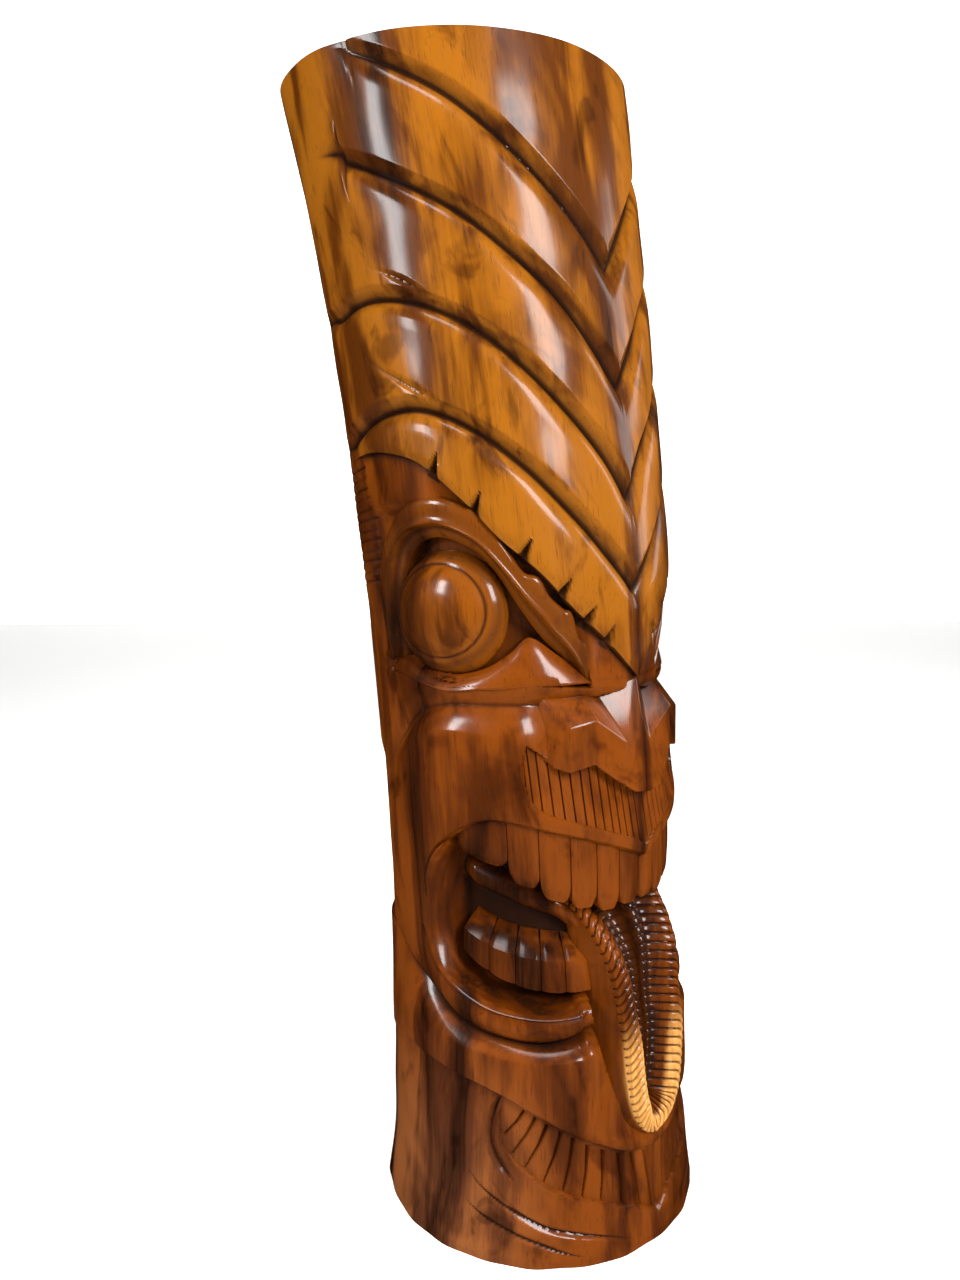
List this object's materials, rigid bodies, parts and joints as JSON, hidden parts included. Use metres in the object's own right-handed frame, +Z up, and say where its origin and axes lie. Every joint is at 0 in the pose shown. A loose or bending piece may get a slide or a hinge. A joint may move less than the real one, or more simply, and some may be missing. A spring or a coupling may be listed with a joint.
{
  "type": "carved wooden tiki figure",
  "caption": "Free-standing carved log tiki with a chevron headdress, staring eyes, bared teeth and a long ribbed tongue over the chin.",
  "frame": {"origin": "middle of the flat foot of the log, on the surface that it stands on", "axes": "+Z up the log, the face looks along -Y, and +X is towards the figure's own left side"},
  "size_m": [0.324, 0.426, 1.034],
  "materials": {
    "varnished_log": "glossy varnish over warm brown wood with dark streaks",
    "golden_wood": "glossy varnish over golden brown wood",
    "red_brown_wood": "glossy varnish over red brown heartwood"
  },
  "bodies": {
    "root": {"log_body": "varnished_log", "brow": "golden_wood", "upper_eyelid_right": "red_brown_wood", "upper_eyelid_left": "red_brown_wood", "lower_eyelid_right": "red_brown_wood", "lower_eyelid_left": "red_brown_wood", "eyeball_right": "golden_wood", "eyeball_left": "golden_wood", "nose": "red_brown_wood", "moustache": "red_brown_wood", "upper_teeth": "red_brown_wood", "lower_teeth_right": "red_brown_wood", "lower_teeth_left": "red_brown_wood", "chin": "red_brown_wood", "beard": "red_brown_wood", "tongue": "golden_wood"}
  },
  "joints": []
}
